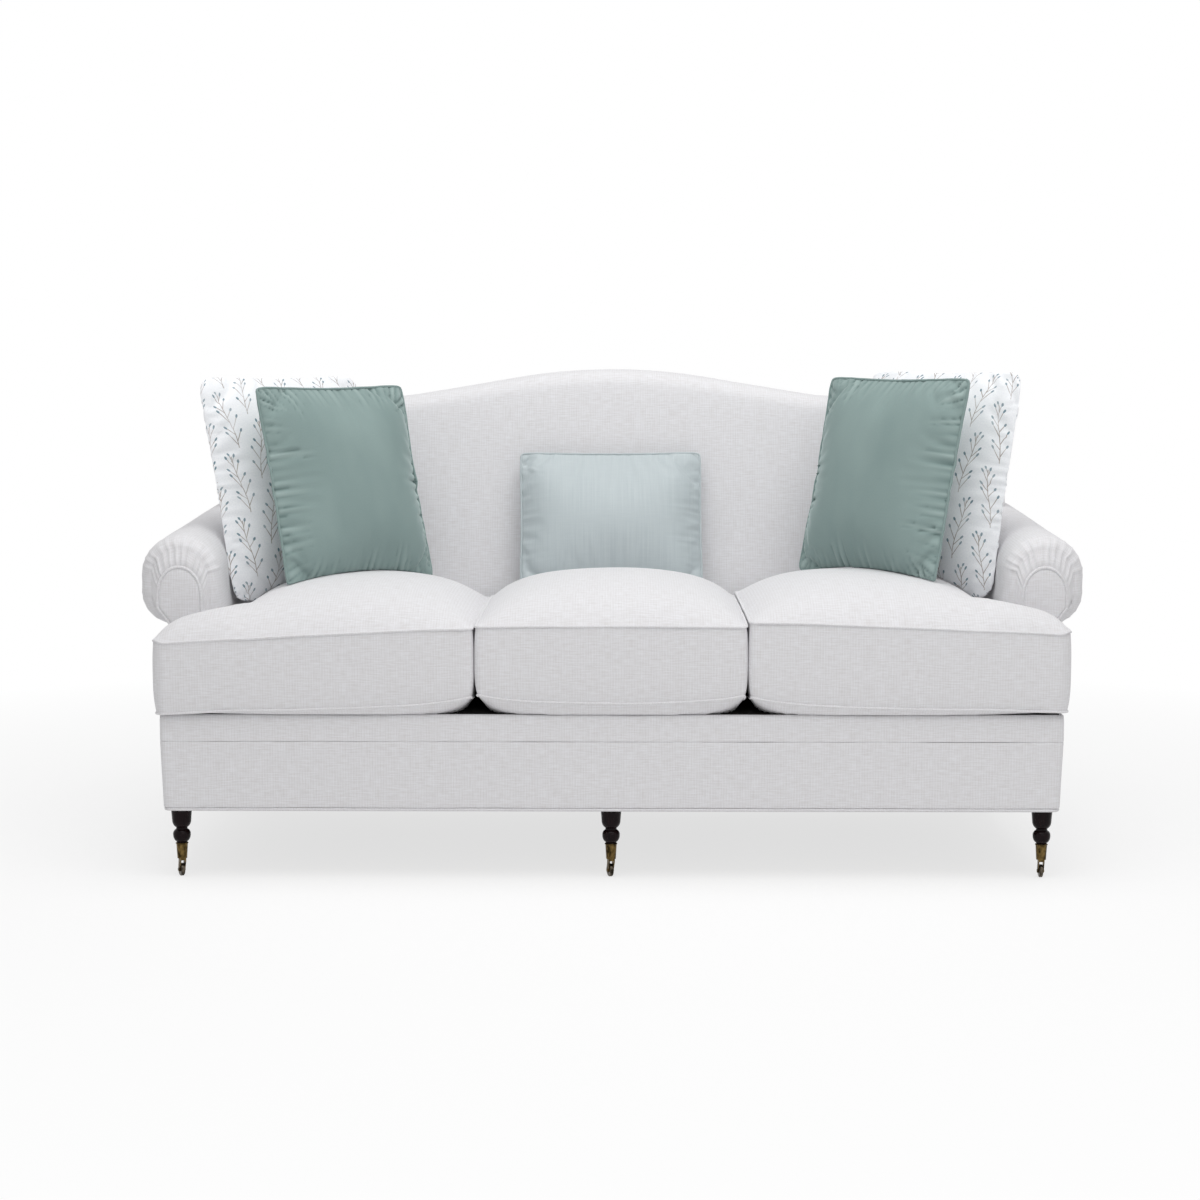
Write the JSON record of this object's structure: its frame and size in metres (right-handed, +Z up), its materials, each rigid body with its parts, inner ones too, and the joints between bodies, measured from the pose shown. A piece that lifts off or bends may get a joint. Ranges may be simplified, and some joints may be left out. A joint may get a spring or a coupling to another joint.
{
  "type": "sofa",
  "caption": "Sofa with camel back, rolled arms, loose seat cushions, scatter pillows and turned front legs on swivel casters.",
  "frame": {"origin": "on the floor, at the middle of the overall width and depth", "axes": "+X to the right seen from the front, along the width; +Y from the front to the back; +Z up"},
  "size_m": [1.862, 0.9, 0.9755],
  "materials": {
    "upholstery_linen": "slubbed off-white linen weave",
    "lining_cloth": "plain charcoal lining cloth",
    "padding": "foam and batting",
    "webbing": "jute webbing",
    "spring_steel": "oiled steel",
    "printed_cotton": "cotton printed with sprigs",
    "sage_velvet": "sage velvet",
    "aqua_satin": "pale aqua satin",
    "ebonised_wood": "ebonised, satin lacquer",
    "frame_wood": "sawn hardwood",
    "antique_brass": "antique brass",
    "dark_brass": "worn dark brass"
  },
  "bodies": {
    "frame": {"front_border": "upholstery_linen", "front_edge_band": "upholstery_linen", "base_welt": "upholstery_linen", "outside_arm_left": "upholstery_linen", "outside_arm_right": "upholstery_linen", "arm_cover_left": "upholstery_linen", "arm_cover_right": "upholstery_linen", "arm_facing_left": "upholstery_linen", "arm_facing_right": "upholstery_linen", "facing_welt_left": "upholstery_linen", "facing_welt_right": "upholstery_linen", "inside_back": "upholstery_linen", "outside_back": "upholstery_linen", "deck_cloth": "lining_cloth", "dust_cover": "lining_cloth", "deck_pad": "padding", "edge_roll": "padding", "back_webbing": "webbing", "seat_springs": "spring_steel", "spring_clips": "spring_steel", "leg_bolts": "spring_steel", "front_legs": "ebonised_wood", "rear_leg_left": "ebonised_wood", "rear_leg_centre": "ebonised_wood", "rear_leg_right": "ebonised_wood", "caster_cups": "antique_brass", "front_rail": "frame_wood", "back_rail": "frame_wood", "side_rails": "frame_wood", "seat_cross_rails": "frame_wood", "corner_blocks": "frame_wood", "arm_posts": "frame_wood", "arm_top_rails": "frame_wood", "arm_tack_rails": "frame_wood", "back_posts": "frame_wood", "back_stiles": "frame_wood", "back_top_rail": "frame_wood", "back_tack_rail": "frame_wood"},
    "cushion_left": {"seat_cushion_left": "upholstery_linen", "seat_core_left": "padding"},
    "fork_left": {"caster_fork_left": "antique_brass", "caster_axle_left": "antique_brass"},
    "wheel_left": {"caster_wheel_left": "dark_brass"},
    "cushion_centre": {"seat_cushion_centre": "upholstery_linen", "seat_core_centre": "padding"},
    "fork_centre": {"caster_fork_centre": "antique_brass", "caster_axle_centre": "antique_brass"},
    "wheel_centre": {"caster_wheel_centre": "dark_brass"},
    "cushion_right": {"seat_cushion_right": "upholstery_linen", "seat_core_right": "padding"},
    "fork_right": {"caster_fork_right": "antique_brass", "caster_axle_right": "antique_brass"},
    "wheel_right": {"caster_wheel_right": "dark_brass"},
    "print_left": {"pillow_print_left": "printed_cotton"},
    "print_right": {"pillow_print_right": "printed_cotton"},
    "velvet_left": {"pillow_velvet_left": "sage_velvet"},
    "velvet_right": {"pillow_velvet_right": "sage_velvet"},
    "lumbar": {"pillow_lumbar": "aqua_satin"}
  },
  "joints": [
    {"name": "caster_swivel_left", "type": "hinge", "parent": "frame", "child": "fork_left", "pos_m": [-0.834, -0.407, 0.036], "axis": [0, 0, 1], "continuous": true},
    {"name": "caster_roll_left", "type": "hinge", "parent": "fork_left", "child": "wheel_left", "pos_m": [-0.83635, -0.40259, 0.0125], "axis": [0.8829, 0.4695, 0], "continuous": true},
    {"name": "caster_swivel_centre", "type": "hinge", "parent": "frame", "child": "fork_centre", "pos_m": [0, -0.407, 0.036], "axis": [0, 0, 1], "continuous": true},
    {"name": "caster_roll_centre", "type": "hinge", "parent": "fork_centre", "child": "wheel_centre", "pos_m": [-0.00171, -0.4023, 0.0125], "axis": [0.9397, 0.342, 0], "continuous": true},
    {"name": "caster_swivel_right", "type": "hinge", "parent": "frame", "child": "fork_right", "pos_m": [0.834, -0.407, 0.036], "axis": [0, 0, 1], "continuous": true},
    {"name": "caster_roll_right", "type": "hinge", "parent": "fork_right", "child": "wheel_right", "pos_m": [0.834, -0.402, 0.0125], "axis": [1, 0, 0], "continuous": true},
    {"name": "cushion_lift_left", "type": "slide", "parent": "frame", "child": "cushion_left", "axis": [0, 0, 1], "range_m": [0, 0.35]},
    {"name": "cushion_lift_centre", "type": "slide", "parent": "frame", "child": "cushion_centre", "axis": [0, 0, 1], "range_m": [0, 0.35]},
    {"name": "cushion_lift_right", "type": "slide", "parent": "frame", "child": "cushion_right", "axis": [0, 0, 1], "range_m": [0, 0.35]},
    {"name": "pillow_lift_print_left", "type": "slide", "parent": "cushion_left", "child": "print_left", "axis": [0, 0, 1], "range_m": [0, 0.3]},
    {"name": "pillow_lift_velvet_left", "type": "slide", "parent": "print_left", "child": "velvet_left", "axis": [0, 0, 1], "range_m": [0, 0.3]},
    {"name": "pillow_lift_print_right", "type": "slide", "parent": "cushion_right", "child": "print_right", "axis": [0, 0, 1], "range_m": [0, 0.3]},
    {"name": "pillow_lift_velvet_right", "type": "slide", "parent": "print_right", "child": "velvet_right", "axis": [0, 0, 1], "range_m": [0, 0.3]},
    {"name": "pillow_lift_lumbar", "type": "slide", "parent": "cushion_centre", "child": "lumbar", "axis": [0, 0, 1], "range_m": [0, 0.3]}
  ]
}
